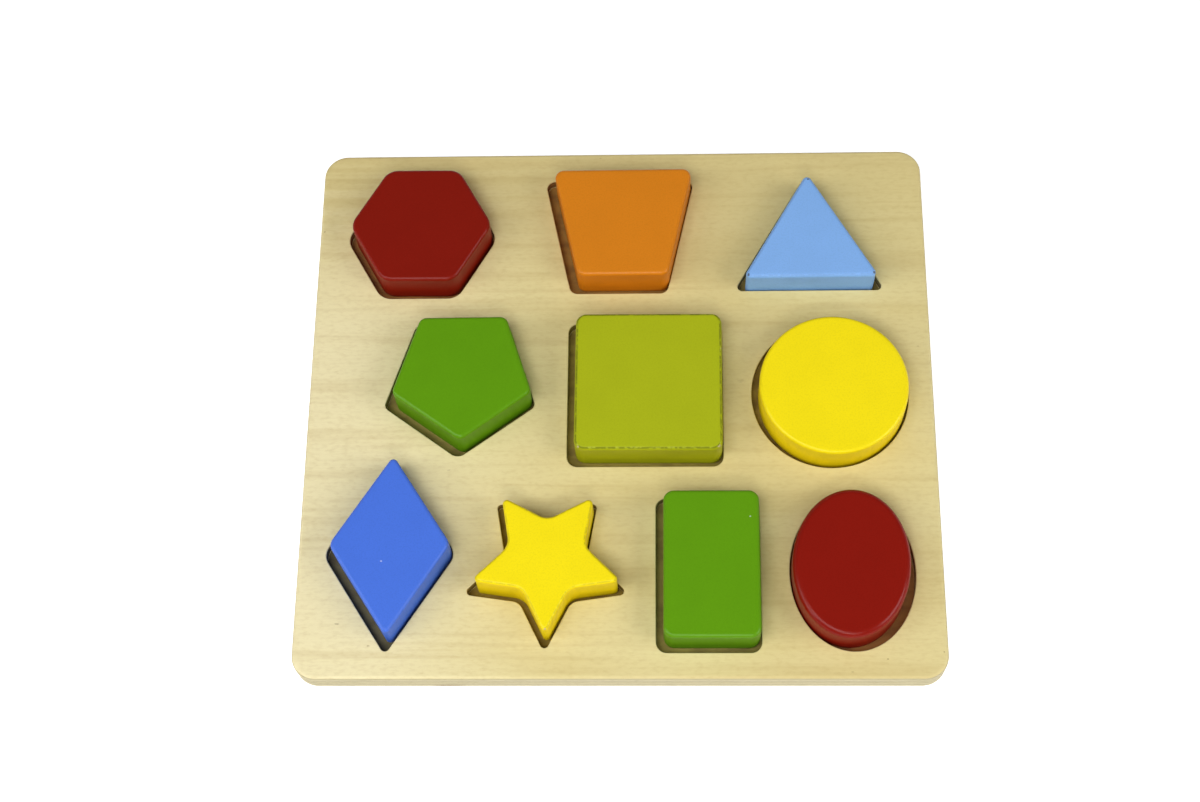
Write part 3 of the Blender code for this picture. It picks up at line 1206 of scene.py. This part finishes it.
@dataclass
class Studio:
    """White paper floor with a low round wall, soft boxes and the photograph's camera."""

    floor_radius: float = 3.5
    bend_radius: float = 0.7
    bend_steps: int = 8
    floor_points: int = 96
    floor_drop: float = 0.0002
    wall_height: float = 1.8
    world_tone: str = "625A44"
    world_strength: float = 0.35
    focal_length_mm: float = 58.54
    sensor_mm: float = 36.0
    sight_range: tuple[float, float] = (0.01, 50.0)
    camera_place: tuple[float, float, float] = (0.02637, -0.35292, 0.88030)
    camera_right: tuple[float, float, float] = (0.99926, 0.00903, -0.03755)
    camera_up: tuple[float, float, float] = (0.00584, 0.92592, 0.37766)
    camera_back: tuple[float, float, float] = (0.03818, -0.37760, 0.92518)
    lamps: tuple[SoftBox, ...] = (
        SoftBox("top_box", (-0.44, -0.63, 1.50), 1.15, 0.85, 15.0),
        SoftBox("right_box", (1.28, -0.44, 0.88), 0.9, 0.8, 11.5),
        SoftBox("left_box", (-1.28, -0.40, 0.90), 0.9, 0.8, 8.5),
        SoftBox("front_strip", (0.12, -1.12, 1.12), 0.7, 0.22, 5.0),
    )

    def build_camera(self) -> None:
        """Camera at the photograph's place and angle."""
        camera = bpy.data.cameras.new("camera")
        camera.sensor_width = self.sensor_mm
        camera.lens = self.focal_length_mm
        camera.clip_start, camera.clip_end = self.sight_range
        body = bpy.data.objects.new("camera", camera)
        turn = Matrix((self.camera_right, self.camera_up, self.camera_back)).transposed()
        body.matrix_world = Matrix.Translation(self.camera_place) @ turn.to_4x4()
        bpy.context.scene.collection.objects.link(body)
        bpy.context.scene.camera = body

    def build_floor(self) -> None:
        """Floor disc that turns up into a wall all round."""
        paper = bmesh.new()
        flat_radius = self.floor_radius - self.bend_radius
        section = [(self.floor_radius / 2, 0.0), (flat_radius, 0.0)]
        for step in range(1, self.bend_steps + 1):
            angle = math.pi / 2 * step / self.bend_steps
            out, up = self.bend_radius * math.sin(angle), self.bend_radius * (1 - math.cos(angle))
            section.append((flat_radius + out, up))
        section.append((self.floor_radius, self.wall_height))
        turns = [math.tau * i / self.floor_points for i in range(self.floor_points)]
        centre = paper.verts.new((0.0, 0.0, 0.0))
        previous = None
        for radius, height in section:
            ring = [
                paper.verts.new((radius * math.cos(turn), radius * math.sin(turn), height))
                for turn in turns
            ]
            for i in range(len(turns)):
                if previous is None:
                    paper.faces.new((centre, ring[i - 1], ring[i]))
                else:
                    paper.faces.new((previous[i - 1], ring[i - 1], ring[i], previous[i]))
            previous = ring
        floor = finished_object("paper_floor", paper)
        floor.location.z = -self.floor_drop
        floor.data.materials.append(StudioPaper().build("background_paper"))

    def build_lights(self) -> None:
        """A wide box high in front, lower ones at both sides, a strip for the arrises and the air."""
        for lamp in self.lamps:
            lamp.build()
        world = bpy.data.worlds.new("studio_air")
        world.use_nodes = True
        air = world.node_tree.nodes["Background"]
        air.inputs["Color"].default_value = linear(self.world_tone)
        air.inputs["Strength"].default_value = self.world_strength
        bpy.context.scene.world = world

    def build(self) -> None:
        """Set up floor, lights and camera."""
        self.build_camera()
        self.build_floor()
        self.build_lights()
        bpy.context.scene.view_settings.view_transform = "Standard"


def make_blocks() -> list[ShapeBlock]:
    """Describe the ten blocks, with the outlines that the CAD gives them.

    Returns:
        The blocks, row by row from the back, each row from the left.
    """
    hexagon = Shape(
        Form.POLYGON, 0.0352, sides=6, first_degrees=-120.0, radii=(0.0085,), clearance=0.0019
    )
    trapezoid = Shape(Form.TRAPEZOID, 0.0690, 0.0581, narrow_width=0.0436, radii=(0.0042,))
    triangle = Shape(
        Form.POLYGON, 0.0658 / math.sqrt(3), sides=3, first_degrees=-150.0, radii=(0.0023,)
    )
    pentagon = Shape(
        Form.POLYGON, 0.0352, sides=5, radii=(0.0042,),
        recess_radii=(0.0055, 0.0034, 0.0034, 0.0034, 0.0034), clearance=0.0026,
    )
    square = Shape(Form.TRAPEZOID, 0.0699, 0.0699, radii=(0.0050,))
    circle = Shape(Form.ELLIPSE, 0.0704, 0.0704)
    rhombus = Shape(
        Form.RHOMBUS, 0.0565, 0.0873, radii=(0.0022, 0.0050),
        recess_radii=(0.0022, 0.0075), clearance=0.0024,
    )
    star = Shape(
        Form.STAR, 0.0366, sides=5, inner_radius=0.0183,
        radii=(0.0020, 0.0080), recess_radii=(0.0020, 0.0062), clearance=0.0018,
    )
    rectangle = Shape(Form.TRAPEZOID, 0.0443, 0.0704, radii=(0.0050,), clearance=0.0020)
    oval = Shape(Form.ELLIPSE, 0.0539, 0.0709, clearance=0.0020)

    dark, white = "47474A", "E9EDF2"
    square_chips = (
        Chip(-0.0331, -0.0337, 0.0008, 0.7),
        Chip(0.0334, -0.0334, 0.0010, 0.7),
        Chip(0.0345, 0.0165, 0.0006, 0.5),
    )
    triangle_chips = (
        Chip(0.0005, 0.0340, 0.0009, 0.8, dark),
        Chip(-0.0300, -0.0176, 0.0008, 0.8, dark),
        Chip(0.0303, -0.0172, 0.0009, 0.8, dark),
    )
    star_chips = (
        Chip(0.0003, -0.0342, 0.0009, 0.8),
        Chip(-0.0338, 0.0108, 0.0009, 0.6),
    )
    rhombus_speck = Chip(-0.0032, -0.0085, 0.0005, 0.4, white, 0.0)
    rectangle_speck = Chip(0.0178, 0.0220, 0.0005, 0.45, white, 0.0)
    return [
        ShapeBlock("hexagon", hexagon, Paint.RED, (0.0009, 0.0015, -0.3), "paint_red"),
        ShapeBlock("trapezoid", trapezoid, Paint.ORANGE, (0.0021, 0.0014, 0.2), "paint_orange"),
        ShapeBlock(
            "triangle", triangle, Paint.LIGHT_BLUE, (-0.0001, -0.0013, 0.4), "paint_light_blue",
            triangle_chips, worn=0.15, paint_rub_and_bounce=0.1, side_painted_warmth="FFFFFA",
        ),
        ShapeBlock("pentagon", pentagon, Paint.GREEN, (0.0019, 0.0010, 0.5), "paint_green", paint_rub_and_bounce=0.15),
        ShapeBlock(
            "square", square, Paint.LIME, (0.0018, 0.0012, -0.2), "paint_lime", square_chips,
            worn=0.65, paint_rub_and_bounce=0.3,
        ),
        ShapeBlock("circle", circle, Paint.YELLOW, (0.0011, -0.0002, 0.0), "paint_yellow"),
        ShapeBlock(
            "rhombus", rhombus, Paint.BLUE, (0.0016, 0.0010, 0.25), "paint_blue", (rhombus_speck,),
            arris=0.0017, paint_rub_and_bounce=0.6, side_painted_warmth="FFFFFF",
        ),
        ShapeBlock(
            "star", star, Paint.YELLOW, (0.0010, 0.0009, -0.3), "paint_yellow", star_chips,
            worn=0.3, arris=0.0015,
        ),
        ShapeBlock(
            "rectangle", rectangle, Paint.GREEN, (0.0015, 0.0014, -0.1), "paint_green", (rectangle_speck,),
            paint_rub_and_bounce=0.15,
        ),
        ShapeBlock("oval", oval, Paint.BRIGHT_RED, (-0.0013, 0.0008, -4.0), "paint_red", arris=0.0030),
    ]


def main() -> None:
    """Load the frame, then build the studio, the blocks and the board."""
    logging.basicConfig(level=logging.INFO, format="%(name)s: %(message)s")
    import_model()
    Studio().build()
    blocks = make_blocks()
    for block in blocks:
        piece = block.build()
        LOG.info("%s: %d faces", piece.name, len(piece.data.polygons))
    for plate in PuzzleBoard(blocks).build():
        LOG.info("%s: %d faces", plate.name, len(plate.data.polygons))


if __name__ == "__main__":
    main()
